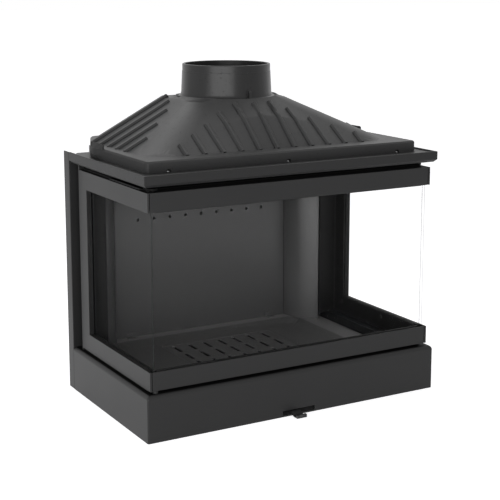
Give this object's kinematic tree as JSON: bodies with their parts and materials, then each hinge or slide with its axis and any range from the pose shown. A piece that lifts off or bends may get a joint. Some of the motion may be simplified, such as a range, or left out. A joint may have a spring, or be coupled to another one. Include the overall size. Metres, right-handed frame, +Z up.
{
  "type": "fireplace insert",
  "caption": "Three-sided glazed fireplace insert on a steel plinth, with a hinged frameless glass front, a ribbed cast smoke hood and a round flue collar on top.",
  "frame": {"origin": "on the floor, at the middle of the bounding box in plan; the plinth's front face is at y = -0.237", "axes": "+X along the width to the viewer's right as one faces the glass, +Y towards the back, +Z up"},
  "size_m": [0.716, 0.526, 0.735],
  "materials": {
    "painted_steel": "matt heat-proof dark grey paint on sheet steel",
    "cast_iron": "matt dark grey sprayed casting, finely grained",
    "ceramic_glass": "clear glass-ceramic",
    "lining": "matt black painted steel lining",
    "vermiculite": "pressed vermiculite board",
    "bare_steel": "dark mill-finish steel",
    "spring_steel": "plain steel fasteners and pins",
    "rope_seal": "woven dark ceramic rope and tape"
  },
  "bodies": {
    "insert": {"air_wash_plate": "painted_steel", "ash_box": "bare_steel", "ash_pan": "bare_steel", "back_lining": "lining", "baffle_plate": "vermiculite", "baffle_rails": "bare_steel", "catch_clip": "spring_steel", "door_header": "painted_steel", "door_sill": "painted_steel", "floor_pan": "bare_steel", "flue_collar": "cast_iron", "frame_seals": "rope_seal", "grate": "cast_iron", "hearth_plate": "cast_iron", "hood": "cast_iron", "hood_screws": "spring_steel", "left_column": "painted_steel", "left_corner_lining": "lining", "left_glass_retainer": "painted_steel", "left_glass_tape": "rope_seal", "left_side_frame": "painted_steel", "left_side_glass": "ceramic_glass", "lining_brackets": "bare_steel", "lining_clips": "bare_steel", "lower_hinge_pin": "spring_steel", "plinth": "painted_steel", "rear_casing": "painted_steel", "retainer_screws": "spring_steel", "right_column": "painted_steel", "right_corner_lining": "lining", "right_glass_retainer": "painted_steel", "right_glass_tape": "rope_seal", "right_side_frame": "painted_steel", "right_side_glass": "ceramic_glass", "roof_frame": "painted_steel", "roof_seals": "rope_seal", "slide_rails": "bare_steel", "top_deck": "cast_iron", "upper_hinge": "painted_steel"},
    "front_door": {"catch_tab": "painted_steel", "door_bottom_bar": "painted_steel", "door_bottom_retainer": "painted_steel", "door_glass": "ceramic_glass", "door_screws": "spring_steel", "door_seal": "rope_seal", "door_top_bar": "painted_steel", "door_top_retainer": "painted_steel"},
    "air_control": {"air_lever": "painted_steel", "air_slide": "bare_steel"}
  },
  "joints": [
    {"name": "front_door_hinge", "type": "hinge", "parent": "insert", "child": "front_door", "pos_m": [-0.333, -0.221, 0.105], "axis": [0, 0, -1], "range_deg": [0, 110]},
    {"name": "air_control_slide", "type": "slide", "parent": "insert", "child": "air_control", "axis": [1, 0, 0], "range_m": [-0.019, 0.035]}
  ]
}
